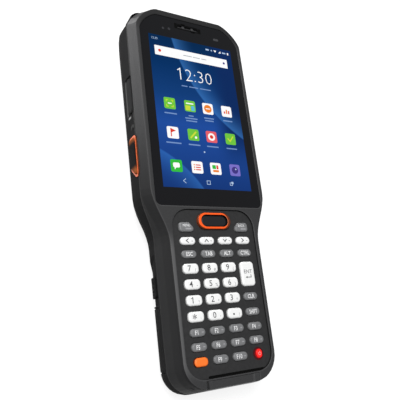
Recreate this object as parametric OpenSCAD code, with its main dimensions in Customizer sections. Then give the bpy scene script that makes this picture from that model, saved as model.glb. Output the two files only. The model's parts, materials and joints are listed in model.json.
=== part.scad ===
// Rugged barcode data terminal: a touch display head on a waisted keypad handle.
// It lies on its back. X is across, +Y points to the scanner end and +Z out of the display.
// The origin is on the rest plane, under the centre of the overall box. Sizes are in millimetres.

/* [Display] */
// Width of the lit area of the display
display_w = 52.3; // [50:0.1:56]
// Height of the lit area of the display
display_h = 87.2; // [80:0.1:92]
// Black glass border on each side of the lit area
border_side = 4.85; // [4.4:0.05:7]
// Black glass border above the lit area
border_top = 13; // [12.6:0.1:16]
// Black glass border below the lit area
border_bottom = 9.3; // [9:0.1:12]
// Thickness of the cover glass
glass_t = 1.2; // [0.9:0.1:1.5]
// Corner radius at the top of the cover glass
glass_corner_r = 10.8; // [8:0.2:13]

/* [Keypad] */
// Distance between key columns
key_pitch = 10.7; // [10.5:0.05:12]
// Distance between two rows of number keys
number_pitch = 7.45; // [7.2:0.05:9]
// Distance between two rows of oval keys
oval_pitch = 6.45; // [6:0.05:8]
// Distance between an oval row and a row of another kind
mixed_pitch = 7; // [6.6:0.05:8]
// Width of a number key
number_key_w = 8.3; // [7.8:0.1:8.8]
// Height of a number key
number_key_h = 4.9; // [4.6:0.1:5.5]
// Width of an oval key
oval_key_w = 8.1; // [7.6:0.1:8.8]
// Height of an oval key
oval_key_h = 3.9; // [3.6:0.1:4.4]
// Width of the scan key inside its ring
scan_key_w = 15.2; // [12:0.1:15.5]
// Height of the scan key inside its ring
scan_key_h = 5.9; // [5:0.1:6]
// Width of the orange band round the scan key
ring_w = 2.1; // [1.8:0.1:2.3]
// How far a key moves when it is pressed
key_travel = 0.6; // [0.4:0.05:0.8]
// How far the number keys stand out of the keypad panel
key_rise = 1.3; // [1:0.1:2]
// Clearance between a key and its opening
key_gap = 0.2; // [0.15:0.05:0.3]
// Thickness of the keypad panel
panel_t = 1.4; // [1:0.1:1.6]
// Depth of the keypad panel below the rim
panel_drop = 1; // [0.6:0.1:1.4]

/* [Housing] */
// Height of the front rim above the rest plane
body_t = 33; // [32:0.5:36]
// Wall thickness of the shells
wall = 2; // [1.6:0.1:2.4]
// Width of the rim beside the glass
rim_head = 2.2; // [1.8:0.1:3]
// Width of the rim beside the keypad
rim_handle = 2.1; // [1.6:0.1:2.6]
// How far the head's sides swell out beyond its rim
head_swell = 3.3; // [3:0.1:4]
// How far the handle's sides swell out beyond its rim
handle_swell = 3.5; // [3.2:0.1:4]
// Depth of the parting line below the rim at the head
head_part = 6; // [6:0.1:6.5]
// Depth of the parting line below the rim at the handle
handle_part = 11; // [10.8:0.1:11.4]
// Length of the waist between head and handle
waist_l = 26.5; // [24:0.5:32]
// How far the scanner hood stands out beyond the top rim
hood_out = 5; // [4:0.2:8]
// Half the width of the scanner hood
hood_half_w = 31; // [28:0.5:31.5]

/* [Side keys] */
// Length of a trigger's ring
trigger_l = 22; // [20:0.2:25]
// Height of a trigger's ring
trigger_h = 8.6; // [8:0.1:9]
// How far a trigger moves when it is pressed
trigger_travel = 0.6; // [0.4:0.05:0.7]
// Length of the volume rocker
rocker_l = 20; // [16:0.5:22]
// Depth of the side keys' middle line below the rim
side_key_drop = 9.1; // [8.8:0.1:9.2]

/* [Battery] */
// Height of the battery's exposed cap
cap_t = 9; // [8:0.1:9.4]
// Width of the battery block inside its bay
battery_w = 44.6; // [40:0.2:44.8]
// Length of the battery block inside its bay
battery_l = 67.4; // [60:0.2:70]
// How far a battery latch slides to let the battery go
latch_travel = 5; // [3:0.5:6]

/* [Bottom cover] */
// Width of the connector cover
io_w = 28.8; // [24:0.2:30]
// Clearance round the connector cover
io_gap = 0.15; // [0.1:0.05:0.3]

/* [Hidden] */
$fn = 48;
corner_steps = 8;
waist_steps = 8;
far = 150;
fit_gap = 0.1;
glass_drop = 0.2;
seal_t = 0.3;
rim_top = 3.5;
face_strip = 1.8;
lip_bottom = 4.4;
foot_draft = 2.5;
top_swell = 1.5;
head_corner_r = 13;
handle_corner_r = 12.4;
// Corners of the head are nearly cut off. A power of 2 gives a round corner.
head_corner_power = 1.45;
// How much wider the back of the head gets towards the scanner end
head_flare = 2;
// How much narrower the handle gets towards the bottom end, on each side
handle_taper = 0.45;

// Keypad rows, measured from the soft keys down
panel_side = 3.4;
panel_above = 8.95;
panel_below = 7.65;
panel_corner_r = 9;
scan_key_lift = 3.05;
ring_h = scan_key_h + 2*ring_w - 1.5;
rows_h = 5*mixed_pitch - 2*mixed_pitch + 3*oval_pitch + 3*number_pitch;
keypad_w = 3*key_pitch + number_key_w + 2*panel_side;
keypad_l = panel_above + rows_h + panel_below;

// Stations along Y, from the scanner end down
body_l = hood_out + rim_top + border_top + display_h + border_bottom + face_strip
  + keypad_l + lip_bottom + foot_draft;
y_top = body_l/2;
y_rim_top = y_top - hood_out;
y_glass_top = y_rim_top - rim_top;
y_display_top = y_glass_top - border_top;
y_display_bottom = y_display_top - display_h;
y_glass_bottom = y_display_bottom - border_bottom;
y_panel_top = y_glass_bottom - face_strip;
y_panel_bottom = y_panel_top - keypad_l;
y_rim_bottom = y_panel_bottom - lip_bottom;
y_soft = y_panel_top - panel_above;
y_scan = y_soft + scan_key_lift;
y_arrow = y_soft - mixed_pitch;
y_esc = y_arrow - oval_pitch;
y_7 = y_esc - mixed_pitch;
y_4 = y_7 - number_pitch;
y_1 = y_4 - number_pitch;
y_0 = y_1 - number_pitch;
y_f1 = y_0 - mixed_pitch;
y_f5 = y_f1 - oval_pitch;
y_fn = y_f5 - oval_pitch;
y_waist = y_panel_top - 2.95;
y_waist_top = y_waist + waist_l/2;
y_waist_bottom = y_waist - waist_l/2;

// Half widths at the rim
x_glass = display_w/2 + border_side;
x_head = x_glass + rim_head;
x_handle = keypad_w/2 + rim_handle;

// Heights, from the rim down
z_glass_top = body_t - glass_drop;
z_glass = z_glass_top - glass_t;
z_ledge = z_glass - seal_t;
z_panel_top = body_t - panel_drop;
z_panel = z_panel_top - panel_t;
z_board_top = body_t - head_part;
z_handle_part = body_t - handle_part;
z_side = body_t - side_key_drop;
deck_t = 0.9;
z_deck = z_panel - deck_t;
tub_floor_t = 1.3;
z_tub = z_board_top + tub_floor_t;
display_t = z_glass - z_tub - 2*fit_gap;
board_t = 1.6;
z_board = z_board_top - board_t;

// Keys
flange_t = 0.9;
flange_w = 0.4;
key_fillet = 0.9;
z_flange_top = z_panel - fit_gap;
z_flange = z_flange_top - flange_t;
z_dome_top = z_flange - key_travel - fit_gap;
dome_h = 0.6;
dome_r = 2;
z_mat_top = z_dome_top - dome_h;

// Display module
display_side = 2.35;
display_above = 2.2;
display_below = 6.5;

// Earpiece and front camera, in the glass border above the display
ear_x = -1.2;
ear_w = 13.4;
ear_h = 1.8;
ear_bars = [-2.9, 2.9];
y_ear = y_glass_top - 4.3;
front_camera_x = 17;
front_camera_r = 1.8;
y_front_camera = y_glass_top - 7.5;

// Scanner hood
hood_top_z = 21.5;
hood_wall = 7;
hood_corner_r = 6.5;
scan_z = 10;
scan_window_w = 29.6;
scan_window_h = 10.6;
scan_window_t = 1.4;
scan_bay_z = 2.4;
y_bulge = y_top - 46;

// Rear camera and loudspeaker
rear_camera_r = 4.3;
rear_camera_x = 17;
camera_block = 10;
flash_r = 1.6;
flash_off = 9;
y_rear_camera = y_bulge - 11;
speaker_l = 22;
speaker_w = 15;
y_speaker = y_waist_top + 16;

// Side keys
ring_band = 1.1;
ring_proud = 0.2;
ring_seat = 0.5;
side_corner_r = 2.2;
trigger_slant = 4;
trigger_proud = 1.1;
trigger_fillet = 0.5;
trigger_flange = 0.35;
y_trigger = y_display_bottom + 17.9;
y_rocker = y_trigger + 34.1;
rocker_h = 4.6;
rocker_tilt_gap = 0.6;
rocker_bead_r = 1.3;
switch_off = 7;
side_back = 2.3;
y_pip = y_rocker - 17.5;

// Battery
y_bay_bottom = y_panel_bottom + 2;
y_bay_top = y_bay_bottom + battery_l + 0.6;
y_battery = (y_bay_bottom + y_bay_top)/2;
bay_roof_t = 1.2;
z_bay = z_handle_part - bay_roof_t;
bay_half_w = battery_w/2 + 0.3;
cap_gap = 0.3;
y_latch = y_battery + 7.7;
z_latch = 15.4;
latch_l = 10.2;
latch_h = 6.4;
latch_corner_r = 1.6;
latch_proud = 0.25;
// The latch slides in a recess of the handle's side, on a slot that its thumb piece covers.
recess_depth = 0.9;
recess_below = 3.8;
recess_above = 2.1;
// Rise of the ramp at the recess's upper end: length for each millimetre of depth
recess_ramp = 2.2;
thumb_gap = 0.12;
recess_side = 2.2;
y_recess_low = y_latch - latch_l/2 - recess_below;
y_recess_high = y_latch + latch_l/2 + latch_travel + recess_above;
latch_skin = 1.4;
latch_stem_l = 3;
latch_stem_h = 2.6;
latch_stem_y = -1.6;
latch_flange_l = 7;
latch_flange_h = 5.2;
latch_flange_t = 1;
// How deep the latch's nose reaches into the battery's groove
latch_bite = 1;
groove_gap = 0.3;

// Screws: four in the head and four in the handle, all of one length
screw_r = 1;
screw_l = 8.5;
screw_head_r = 2;
screw_head_t = 1.5;
boss_r = 2.4;
z_boss = 21.5;
z_shoulder = z_boss - 3.7;
SCREWS = [for (s = [-1, 1], p = [
  [x_glass - 8.5, y_display_top + 2.5],
  [x_glass - 5, y_rocker - 15.3],
  [x_glass - 5, y_waist_top - 2.5],
  [x_handle - 6.2, y_rim_bottom + 3]
]) [s*p[0], p[1]]];

// Shape of the housing from the rest plane up: share of the height, then how far the head's
// sides, the handle's sides, the top end and the bottom end swell out, as shares of their swell.
SECTION = [
  [0, -1.6, -1.9, -4, -1.5],
  [0.024, -1.3, -1.45, -3.4, -0.9],
  [0.09, -0.95, -0.95, -2.8, -0.25],
  [0.18, -0.55, -0.45, -2, 0.2],
  [0.27, -0.1, -0.15, -0.6, 0.7],
  [0.39, 0.45, 0.66, 0.65, 1],
  [0.52, 0.95, 0.9, 1, 0.95],
  [0.67, 1, 1, 1, 0.7],
  [0.85, 0.92, 0.63, 0.68, 0.38],
  [0.91, 0.5, 0.42, 0.35, 0.2],
  [0.97, 0.17, 0.2, 0.1, 0.06],
  [1, 0, 0, 0, 0]
];
first_housing_row = 3;
last_row = len(SECTION) - 1;
back_z = body_t*SECTION[first_housing_row][0];

// Keys by row: Y of the row, kind of key, and the names in the four columns
ROWS = [
  [y_soft, "soft", ["key_soft_left", "", "", "key_soft_right"]],
  [y_arrow, "arrow", ["key_left", "key_up", "key_down", "key_right"]],
  [y_esc, "oval", ["key_esc", "key_tab", "key_alt", "key_ctrl"]],
  [y_7, "number", ["key_7", "key_8", "key_9", ""]],
  [y_4, "number", ["key_4", "key_5", "key_6", ""]],
  [y_1, "number", ["key_1", "key_2", "key_3", ""]],
  [y_0, "number", ["key_star", "key_0", "key_dot", ""]],
  [y_f1, "oval", ["key_f1", "key_f2", "key_f3", "key_f4"]],
  [y_f5, "oval", ["key_f5", "key_f6", "key_f7", "key_f8"]],
  [y_fn, "oval", ["", "key_f9", "key_f10", ""]]
];
x_column = 1.5*key_pitch;
KEYS = concat(
  [for (row = ROWS) for (c = [0:3]) if (row[2][c] != "") [row[2][c], row[1], (c - 1.5)*key_pitch, row[0]]],
  [
    ["key_enter", "tall", x_column, (y_7 + y_4)/2],
    ["key_clear", "oval", x_column, y_1],
    ["key_shift", "oval", x_column, y_0],
    ["key_fn", "fn", -x_column, y_fn],
    ["key_power", "power", x_column, y_fn],
    ["key_scan", "scan", 0, y_scan]
  ]);
// Width, height, corner radius, rise above the panel, and colour of each kind of key
KINDS = [
  ["number", number_key_w, number_key_h, 1.9, key_rise, "white"],
  ["tall", number_key_w - 0.3, number_key_h + number_pitch, 1.9, key_rise, "white"],
  ["arrow", number_key_w - 0.2, oval_key_h, oval_key_h/2, key_rise, "white"],
  ["oval", oval_key_w, oval_key_h, oval_key_h/2, key_rise - 0.2, "gray"],
  ["soft", oval_key_w, number_key_h, 1.6, key_rise - 0.2, "gray"],
  ["fn", number_key_w - 1.1, number_key_h - 0.8, 1.9, key_rise, "orange"],
  ["power", 3.6, number_key_h - 0.5, 1.8, key_rise, "red"],
  ["scan", scan_key_w, scan_key_h, scan_key_h/2, key_rise - 0.3, "black"]
];
soft_slant = 1.4;

// ---- Outlines ----

function smooth(t) = let (u = min(1, max(0, t))) u*u*(3 - 2*u);
function bow(v, power) = sign(v)*pow(abs(v), 2/power);
function corner(x, y, r, start, power) = [
  for (i = [0:corner_steps]) let (a = start + 90*i/corner_steps)
    [x + r*bow(cos(a), power), y + r*bow(sin(a), power)]
];
function mirrored(right) = concat(right, [for (i = [len(right) - 1:-1:0]) [-right[i][0], right[i][1]]]);
// A plate with its own corners at each end, and wider at the top by its flare
function plate(half_w, top, bottom, r_top, r_bottom, p_top = 2, flare = 0) = mirrored(concat(
  corner(half_w - r_bottom, bottom + r_bottom, r_bottom, -90, 2),
  corner(half_w + flare - r_top, top - r_top, r_top, 0, p_top)));
// The terminal's outline: handle corner, waist, head corner
function waisted(head, handle, top, bottom, r_top, r_bottom, flare) = mirrored(concat(
  corner(handle - handle_taper - r_bottom, bottom + r_bottom, r_bottom, -90, 2),
  [for (i = [0:waist_steps]) let (t = i/waist_steps)
    [handle + (head - handle)*smooth(t), y_waist_bottom + waist_l*t]],
  corner(head + flare - r_top, top - r_top, r_top, 0, head_corner_power)));
function body_ring(row, inset) = waisted(
  x_head + head_swell*row[1] - inset,
  x_handle + handle_swell*row[2] - inset,
  y_rim_top + top_swell*row[3] - inset,
  y_rim_bottom - foot_draft*row[4] + inset,
  head_corner_r - inset,
  handle_corner_r - inset,
  head_flare*max(0, 1 - row[0]/0.6));
// A row of the section table at any height
function section_at(z) = let (share = z/body_t,
    i = max([for (k = [0:last_row - 1]) if (SECTION[k][0] <= share) k]),
    t = (share - SECTION[i][0])/(SECTION[i + 1][0] - SECTION[i][0]))
  SECTION[i] + (SECTION[i + 1] - SECTION[i])*t;
function glass_outline(grow) = plate(x_glass + grow, y_glass_top + grow, y_glass_bottom - grow,
  glass_corner_r + grow, 3 + grow, head_corner_power);
function panel_outline(grow) = plate(keypad_w/2 + grow, y_panel_top + grow, y_panel_bottom - grow,
  panel_corner_r + grow, panel_corner_r + grow);

// A solid through rings of points at rising heights
module loft(heights, rings) {
  n = len(rings[0]);
  last = len(rings) - 1;
  polyhedron(
    points = [for (k = [0:last]) for (p = rings[k]) [p[0], p[1], heights[k]]],
    faces = concat(
      [[for (i = [0:n - 1]) i]],
      [[for (i = [n - 1:-1:0]) last*n + i]],
      [for (k = [0:last - 1]) for (i = [0:n - 1]) let (j = (i + 1) % n)
        [k*n + i, (k + 1)*n + i, (k + 1)*n + j, k*n + j]]));
}

module slab(z0, z1, outline) {
  translate([0, 0, z0]) linear_extrude(z1 - z0) polygon(outline);
}

// A block from two opposite corners
module block(low, high) {
  translate(low) cube(high - low);
}

// ---- Rounded keys ----

module rounded_rect(w, h, r) {
  if (w > 2*r) square([w - 2*r, h], center = true);
  if (h > 2*r) square([w, h - 2*r], center = true);
  for (sx = [-1, 1], sy = [-1, 1]) translate([sx*(w/2 - r), sy*(h/2 - r)]) circle(r);
}

// Steps round a key's top edge, from its side up
function fillet_steps(fillet = key_fillet) = [for (i = [0:3]) [fillet*cos(30*i), fillet*sin(30*i)]];

// Half of a key's section, with its top edge rounded
function edge_profile(r, z0, z1, fillet) = concat(
  [[0, z0], [r, z0]],
  [for (p = fillet_steps(fillet)) [r - fillet + p[0], z1 - fillet + p[1]]],
  [[0, z1]]);

// A rounded rectangle with a rounded top edge: four turned corners and straight sides between
module pillow(w, h, r, z0, z1, fillet) {
  x = w/2 - r;
  y = h/2 - r;
  profile = edge_profile(r, z0, z1, fillet);
  for (k = [0:3]) {
    sx = (k == 0 || k == 3) ? 1 : -1;
    sy = (k < 2) ? 1 : -1;
    translate([sx*x, sy*y, 0]) rotate(90*k) rotate_extrude(angle = 90) polygon(profile);
  }
  for (turn = [0, 180]) rotate(turn) {
    if (y > 0) translate([x, y, 0]) rotate([90, 0, 0]) linear_extrude(2*y) polygon(profile);
    if (x > 0) translate([-x, -y, 0]) rotate([90, 0, 90]) mirror([1, 0, 0]) linear_extrude(2*x) polygon(profile);
  }
  if (x > 0 && y > 0) block([-x, -y, z0], [x, y, z1]);
}

// ---- Shared forms of the housing ----

// A loft through rows of the section table, run straight on for 1 mm at each end to be cut flat
module section_loft(rows, inset) {
  last = len(rows) - 1;
  loft(concat([body_t*rows[0][0] - 1], [for (row = rows) body_t*row[0]], [body_t*rows[last][0] + 1]),
    [for (row = concat([rows[0]], rows, [rows[last]])) body_ring(row, inset)]);
}

module body(inset = 0) {
  section_loft([for (k = [first_housing_row:last_row]) SECTION[k]], inset);
}

// The inside of the shells, one wall thickness in
module inner_body() {
  low = section_at(back_z + wall);
  high = section_at(z_deck);
  between = [for (row = SECTION) if (row[0] > low[0] + 0.01 && row[0] < high[0] - 0.01) row];
  section_loft(concat([low], between, [high]), wall);
}

module across(side_view) {
  rotate([90, 0, 90]) linear_extrude(2*far, center = true) polygon(side_view);
}

// The parting surface between the shells drops at the waist
parting = [[-far, z_handle_part], [y_waist_bottom, z_handle_part], [y_waist_top, z_board_top], [far, z_board_top]];

module front_side() {
  across(concat(parting, [[far, body_t], [-far, body_t]]));
}

module rear_side() {
  across(concat(parting, [[far, back_z], [-far, back_z]]));
}

// Reach of the handle's side at the latches
taper_l = y_waist_bottom - y_rim_bottom - handle_corner_r;
latch_side = x_handle + handle_swell*section_at(z_latch)[2] - handle_taper*(y_waist_bottom - y_latch)/taper_l;

module on_sides(x, y, z, sides = [-1, 1]) {
  for (s = sides) mirror([s < 0 ? 1 : 0, 0, 0]) translate([x, y, z]) rotate([90, 0, 90]) children();
}

module rod_along_z(r, z0, z1) {
  translate([0, 0, z0]) cylinder(r = r, h = z1 - z0);
}

// Openings for the triggers and the volume rocker, cut into both shells
module side_key_cuts() {
  x_side = x_head + head_swell;
  on_sides(x_side, y_trigger, z_side) {
    translate([0, 0, -side_back]) linear_extrude(far) polygon(trigger_outline(fit_gap));
    translate([0, 0, -2*side_back]) linear_extrude(far) polygon(trigger_outline(-ring_seat));
  }
  on_sides(x_side, y_rocker, z_side, [-1]) {
    translate([0, 0, -0.7]) linear_extrude(far) rounded_rect(rocker_l + 2, trigger_h - 0.6, 2);
    translate([0, 0, -2*side_back]) linear_extrude(far)
      rounded_rect(rocker_l + 2*key_gap, rocker_h + 2*key_gap, rocker_h/2 + key_gap);
  }
}

module screw_places() {
  for (p = SCREWS) translate([p[0], p[1], 0]) {
    $at_y = p[1];
    children();
  }
}

// The notch in the bottom end that the connector cover fills
io_notch_x = io_w/2 + io_gap;
y_io_wall = y_panel_bottom - 0.8;
io_wall_t = 1.2;

// USB connector under the board's edge
usb_w = 8.9;
usb_h = 3;
usb_gap = 0.25;
z_usb = z_board - usb_h/2;

// ---- Sub-parts ----

module front_housing() {
  color("#3b3c3e") difference() {
    union() {
      difference() {
        intersection() {
          body();
          front_side();
        }
        intersection() {
          inner_body();
          union() {
            block([-far, -far, 0], [far, far, z_board_top]);
            block([-far, -far, 0], [far, y_panel_top - 0.5, z_deck]);
          }
        }
      }
      screw_places() rod_along_z(boss_r, z_boss, $at_y < y_panel_bottom ? z_deck + 0.2 : z_tub - 0.1);
      // Walls round the connector notch
      intersection() {
        body();
        block([-io_notch_x - io_wall_t, -far, z_handle_part], [io_notch_x + io_wall_t, y_io_wall + io_wall_t, z_panel]);
      }
    }
    slab(z_ledge, far, glass_outline(0.15));
    block([-display_w/2 - display_side - fit_gap, y_display_bottom - display_below - fit_gap, z_tub],
      [display_w/2 + display_side + fit_gap, y_display_top + display_above + fit_gap, far]);
    front_pockets();
    slab(z_panel, far, panel_outline(fit_gap));
    slab(0, far, panel_outline(-1.3));
    block([-io_notch_x, -far, 0], [io_notch_x, y_io_wall, far]);
    usb_hole();
    side_key_cuts();
    screw_places() rod_along_z(screw_r + 0.05, z_boss - 1, z_board_top);
  }
}

// Pockets for the earpiece and the front camera
module front_pockets() {
  translate([ear_x, y_ear, z_tub + 0.2]) linear_extrude(far) rounded_rect(ear_w + 1.2, ear_h + 2.2, 1);
  translate([front_camera_x, y_front_camera, 0]) rod_along_z(front_camera_r + 0.2, z_tub + 0.2, far);
}

// The hole is open towards the parting line, where the rear shell closes it.
module usb_hole() {
  w = usb_w + 2*usb_gap;
  h = usb_h + 2*usb_gap;
  translate([0, 0, z_usb]) rotate([90, 0, 0]) linear_extrude(far) {
    rounded_rect(w, h, h/2);
    translate([0, -h/2]) square([w, h], center = true);
  }
}

module rear_housing() {
  color("#242527") difference() {
    union() {
      difference() {
        union() {
          intersection() {
            body();
            rear_side();
          }
          scan_hood();
        }
        intersection() {
          inner_body();
          block([-far, y_bay_top + 3, back_z + wall], [far, far, far]);
        }
        block([-hood_half_w + hood_wall, y_bulge + 6, scan_bay_z - 0.2],
          [hood_half_w - hood_wall, y_rim_top - 1.5, back_z + wall + 1]);
      }
      screw_places() rod_along_z(screw_head_r + 1.2, $at_y > y_bulge ? 1 : back_z + 0.5, z_boss - 0.2);
      on_sides(x_head + head_swell, y_pip, z_side + 1.4, [-1]) pillow(3.4, 2, 1, -1, 0.3, 0.3);
    }
    // Battery bay and the room of the battery's cap
    block([-far, -far, -1], [far, y_bay_top + 1.7, cap_t]);
    translate([0, y_battery, -1]) linear_extrude(z_bay + 1) rounded_rect(2*bay_half_w, battery_l + 0.6, 2);
    // Screws
    screw_places() {
      rod_along_z(screw_head_r + 0.4, -1, z_shoulder);
      rod_along_z(screw_r + 0.15, z_shoulder - 1, z_boss + 1);
      rod_along_z(boss_r + 0.2, z_boss - 0.2, far);
    }
    // Scanner opening
    block([-scan_window_w/2 + 2, y_rim_top - 3, scan_z - scan_window_h/2 + 1.5],
      [scan_window_w/2 - 2, far, scan_z + scan_window_h/2 - 1.5]);
    block([-scan_window_w/2 - 0.15, y_top - 1.7, scan_z - scan_window_h/2 - 0.15],
      [scan_window_w/2 + 0.15, far, scan_z + scan_window_h/2 + 0.15]);
    // Rear camera and loudspeaker slots
    translate([rear_camera_x, y_rear_camera, 0]) rod_along_z(rear_camera_r + 0.3, -1, back_z + wall + 1);
    translate([rear_camera_x - flash_off, y_rear_camera, 0]) rod_along_z(flash_r + 0.2, -1, back_z + wall + 1);
    for (i = [-2:2]) translate([4*i, y_speaker, 0]) linear_extrude(back_z + wall + 1) rounded_rect(1.4, 10, 0.7);
    side_key_cuts();
    latch_openings();
    grip_grooves();
  }
}

// The scanner hood: a bulge on the back of the head that stands out beyond the top rim
module scan_hood() {
  rows = [
    [0, -6.5, -5.5, 9], [1.2, -4.7, -3.2, 6], [4, -3.2, -0.8, 2], [9, -1.6, 0, 0], [14, 0, 0, 0],
    [hood_top_z - 1, 0, 0, 0], [hood_top_z, -0.3, -0.3, 0]
  ];
  loft([for (row = rows) row[0]],
    [for (row = rows) plate(hood_half_w + row[1], y_top + row[2], y_bulge + row[3], hood_corner_r, 5)]);
}

// Grooves round the grips on the handle's sides, below the latches
module grip_grooves() {
  low = [y_bay_bottom + 2.6, cap_t + 1.4];
  high = [y_recess_low - 1.2, z_handle_part - 2.5];
  groove_w = 0.6;
  difference() {
    block([-far, low[0] - groove_w, low[1] - groove_w], [far, high[0] + groove_w, high[1] + groove_w]);
    block([-far - 1, low[0], low[1]], [far + 1, high[0], high[1]]);
    body(inset = 0.45);
  }
}

// For each latch: the recess of its thumb piece, the slot of its stem and the pocket of its flange
module latch_openings() {
  x_low = latch_side - recess_depth - 3;
  ramp_low = y_recess_high - 3*recess_ramp;
  ramp_high = ramp_low + recess_ramp*(far - x_low);
  recess = [[x_low, y_recess_low], [far, y_recess_low], [far, ramp_high], [x_low, ramp_low]];
  difference() {
    for (m = [0, 1]) mirror([m, 0, 0]) slab(-1, z_latch + latch_h/2 + recess_side, recess);
    body(inset = recess_depth);
  }
  y_slide = latch_stem_y + latch_travel/2;
  on_sides(latch_side, y_latch, z_latch) {
    translate([y_slide, 0, -far/4]) linear_extrude(far/2)
      rounded_rect(latch_stem_l + latch_travel + 2*key_gap, latch_stem_h + 2*key_gap, key_gap);
    translate([y_slide, 0, -recess_depth - latch_skin - latch_side/2]) linear_extrude(latch_side/2)
      rounded_rect(latch_flange_l + latch_travel + 2*key_gap, latch_flange_h + 2*key_gap, key_gap);
  }
}

module cover_glass() {
  color("#101114") difference() {
    slab(z_glass, z_glass_top, glass_outline(0));
    translate([ear_x, y_ear, 0]) linear_extrude(far) rounded_rect(ear_w, ear_h, ear_h/2);
  }
}

module glass_seal() {
  color("#1a1a1a") difference() {
    slab(z_ledge, z_glass, glass_outline(-0.3));
    block([-display_w/2 - display_side, y_display_bottom - display_below, 0],
      [display_w/2 + display_side, y_display_top + display_above, far]);
    front_pockets();
  }
}

module display_module() {
  half = display_w/2 + display_side;
  low = y_display_bottom - display_below;
  high = y_display_top + display_above;
  tray_t = 1.1;
  color("#1d3f7a") union() {
    block([-half, low, z_tub], [half, high, z_tub + tray_t]);
    block([-half + 0.5, low + 0.5, z_tub + tray_t], [half - 0.5, high - 0.5, z_tub + display_t]);
  }
}

// ---- Keypad ----

function kind_of(k) = KINDS[search([k[1]], KINDS)[0]];

function arc(x, y, r, a0, a1, n = 5) = [
  for (i = [0:n]) let (a = a0 + (a1 - a0)*i/n) [x + r*cos(a), y + r*sin(a)]
];

// A rounded rectangle whose right side leans in towards its top, or its left side where side > 0
function leaning(w, h, r, slant, side = -1) = let (
    lean = atan(slant/(h - 2*r)),
    right = w/2 - r,
    top = h/2 - r,
    points = concat(
      arc(right, -top, r, -90, lean), arc(right - slant, top, r, lean, 90),
      arc(-right, top, r, 90, 180), arc(-right, -top, r, 180, 270)))
  side > 0 ? [for (i = [len(points) - 1:-1:0]) [-points[i][0], points[i][1]]] : points;
// A soft key leans along the scan key's ring.
function soft_outline(w, h, r, side) = leaning(w, h, r, soft_slant, side);
// A trigger's lower end leans away from the front.
function trigger_outline(grow) = [for (p = leaning(trigger_l + 2*grow, trigger_h + 2*grow,
  side_corner_r + grow, trigger_slant)) [-p[0], -p[1]]];

// A key's outline, grown on every side
module key_outline(k, grow) {
  kind = kind_of(k);
  w = kind[1];
  h = kind[2];
  r = kind[3];
  if (k[1] == "soft") polygon(soft_outline(w + 2*grow, h + 2*grow, r + grow, k[2]));
  else rounded_rect(w + 2*grow, h + 2*grow, r + grow);
}

module key(k) {
  kind = kind_of(k);
  z_top = z_panel_top + kind[4];
  color(kind[5]) translate([k[2], k[3], 0]) union() {
    translate([0, 0, z_flange]) linear_extrude(flange_t) key_outline(k, flange_w);
    if (k[1] == "soft") loft(
      [z_flange_top, for (p = fillet_steps()) z_top - key_fillet + p[1]],
      [soft_outline(kind[1], kind[2], kind[3], k[2]), for (p = fillet_steps())
        soft_outline(kind[1] - 2*(key_fillet - p[0]), kind[2] - 2*(key_fillet - p[0]), kind[3] - key_fillet + p[0], k[2])]);
    else pillow(kind[1], kind[2], kind[3], z_flange_top, z_top, key_fillet);
  }
}

module keypad_panel() {
  color("#2e2f31") difference() {
    slab(z_panel, z_panel_top, panel_outline(0));
    for (k = KEYS) translate([k[2], k[3], z_panel - 1]) linear_extrude(panel_t + 2) key_outline(k, key_gap);
  }
}

module keypad_mat() {
  color("#4a4c50") union() {
    slab(z_board_top, z_mat_top, panel_outline(-1.6));
    for (k = KEYS) translate([k[2], k[3], z_mat_top]) cylinder(r = dome_r, h = dome_h);
  }
}

module trim_rings() {
  color("#e8631f") {
    translate([0, y_scan, 0]) difference() {
      pillow(scan_key_w + 2*ring_w, ring_h, ring_h/2, z_panel_top, z_panel_top + key_rise + 0.4, 0.8);
      translate([0, 0, z_panel]) linear_extrude(far)
        rounded_rect(scan_key_w + 2*key_gap, scan_key_h + 2*key_gap, scan_key_h/2 + key_gap);
    }
    on_sides(x_head + head_swell, y_trigger, z_side) translate([0, 0, -side_back])
      linear_extrude(side_back + ring_proud) difference() {
        polygon(trigger_outline(0));
        polygon(trigger_outline(-ring_band));
      }
  }
}

// ---- Side keys ----

module trigger(side) {
  steps = fillet_steps(trigger_fillet);
  edge = -ring_band - key_gap;
  z_low = -side_back - fit_gap;
  color("#18191b") on_sides(x_head + head_swell, y_trigger, z_side, [side]) union() {
    loft([z_low, for (p = steps) trigger_proud - trigger_fillet + p[1]],
      [trigger_outline(edge), for (p = steps) trigger_outline(edge - trigger_fillet + p[0])]);
    translate([0, 0, z_low - flange_t]) linear_extrude(flange_t) polygon(trigger_outline(trigger_flange - ring_band));
  }
}

// The rocker tilts on a round bead across the middle of its back.
module volume_rocker() {
  z_back = -side_back - rocker_tilt_gap;
  color("#18191b") on_sides(x_head + head_swell, y_rocker, z_side, [-1]) union() {
    pillow(rocker_l, rocker_h, rocker_h/2, z_back, 0.2, 0.6);
    translate([0, 0, z_back - flange_t]) linear_extrude(flange_t)
      rounded_rect(rocker_l + 1.6, rocker_h + 1, rocker_h/2 + 0.5);
    translate([0, 0, z_back]) rotate([90, 0, 0]) cylinder(r = rocker_bead_r, h = rocker_h, center = true);
  }
}

// ---- Electronics ----

board_side = 4;
board_strip = 1.1;
switch_w = 6;
switch_h = 4.8;
can_t = 2.6;
// Shield cans under the board's head: left and right side, lower and upper end above the loudspeaker
CANS = [[-18, 8, 14, 42], [-9, 14, 46, 64]];
battery_socket = [28, 26];

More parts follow.
